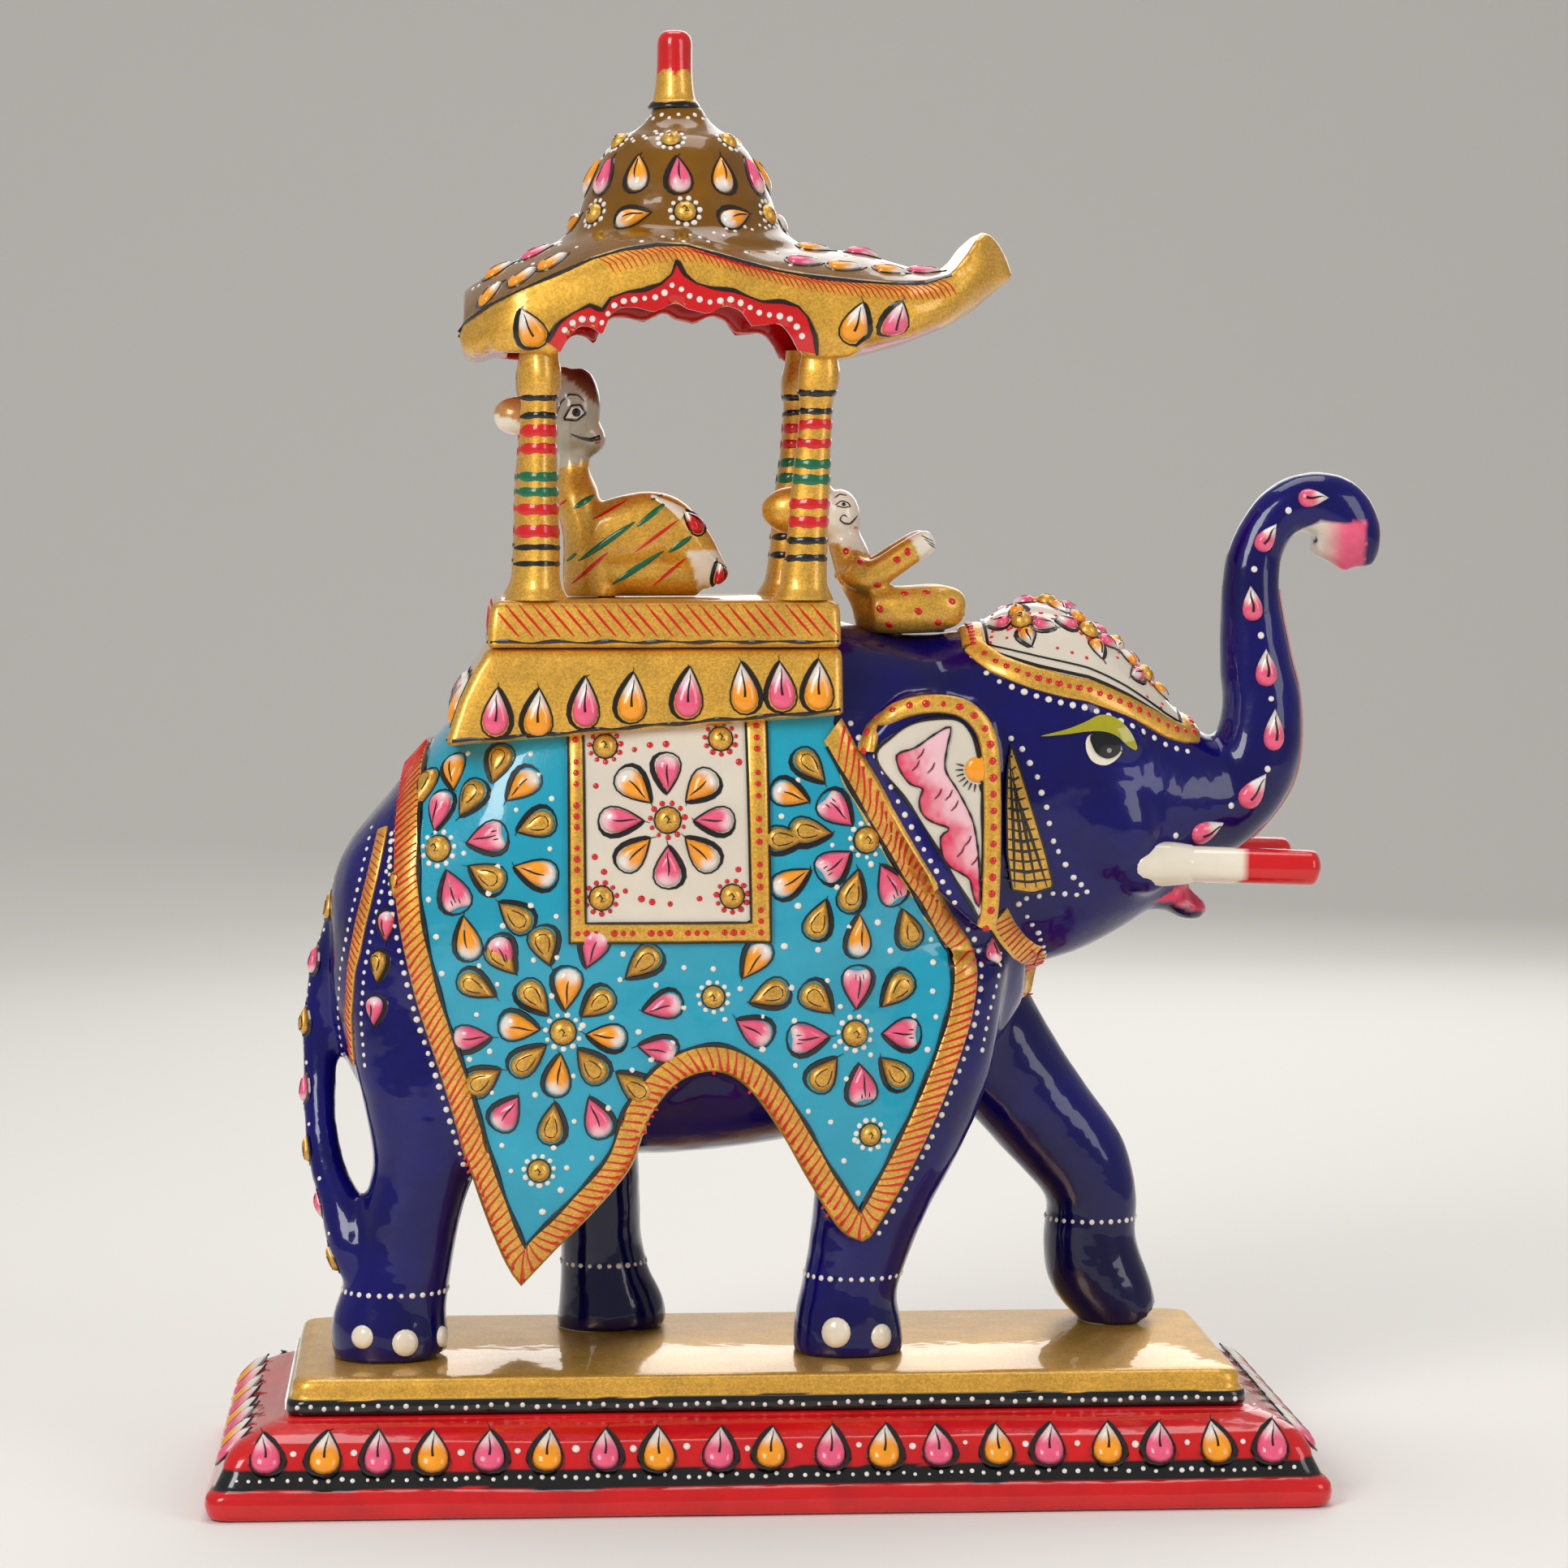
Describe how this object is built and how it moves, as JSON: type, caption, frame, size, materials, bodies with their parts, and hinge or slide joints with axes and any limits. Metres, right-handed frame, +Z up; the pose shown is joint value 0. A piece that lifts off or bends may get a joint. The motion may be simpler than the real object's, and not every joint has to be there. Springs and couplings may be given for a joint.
{
  "type": "carved elephant figurine",
  "caption": "Painted wooden elephant with raised trunk carrying a canopied howdah with a rider and a driver, on a moulded base.",
  "frame": {"origin": "in the plane of the base's underside, which stands on the table, below the middle of the elephant's back; the middle of the base is 5.5 mm towards -Y", "axes": "+X from the tail towards the head, +Y to the elephant's left-hand side, +Z up"},
  "size_m": [0.2034, 0.089, 0.249],
  "materials": {
    "blue_lacquer": "glossy ultramarine lacquer",
    "gold_paint": "metallic gold paint under clear lacquer",
    "red_lacquer": "glossy red lacquer",
    "ochre_lacquer": "glossy brown ochre lacquer",
    "ivory_lacquer": "glossy cream lacquer",
    "turquoise_lacquer": "glossy turquoise lacquer",
    "pink_paint": "glossy pink paint",
    "black_paint": "glossy black paint",
    "bare_wood": "unpainted turned hardwood"
  },
  "bodies": {
    "root": {"base_plinth": "red_lacquer", "base_top_board": "gold_paint", "elephant_body": "blue_lacquer", "tusk_right": "ivory_lacquer", "tusk_left": "ivory_lacquer", "saddle_block": "gold_paint", "howdah_platform": "gold_paint", "pillar_rear_right": "gold_paint", "pillar_rear_left": "gold_paint", "pillar_front_right": "gold_paint", "pillar_front_left": "gold_paint", "canopy": "ochre_lacquer", "finial": "gold_paint", "rider_figure": "gold_paint", "mahout_figure": "gold_paint", "foot_dowel_rear_right": "bare_wood", "foot_dowel_rear_left": "bare_wood", "foot_dowel_front_right": "bare_wood", "foot_dowel_front_left": "bare_wood", "saddle_dowel_rear": "bare_wood", "saddle_dowel_front": "bare_wood", "rider_peg": "bare_wood", "mahout_peg": "bare_wood"}
  },
  "joints": []
}
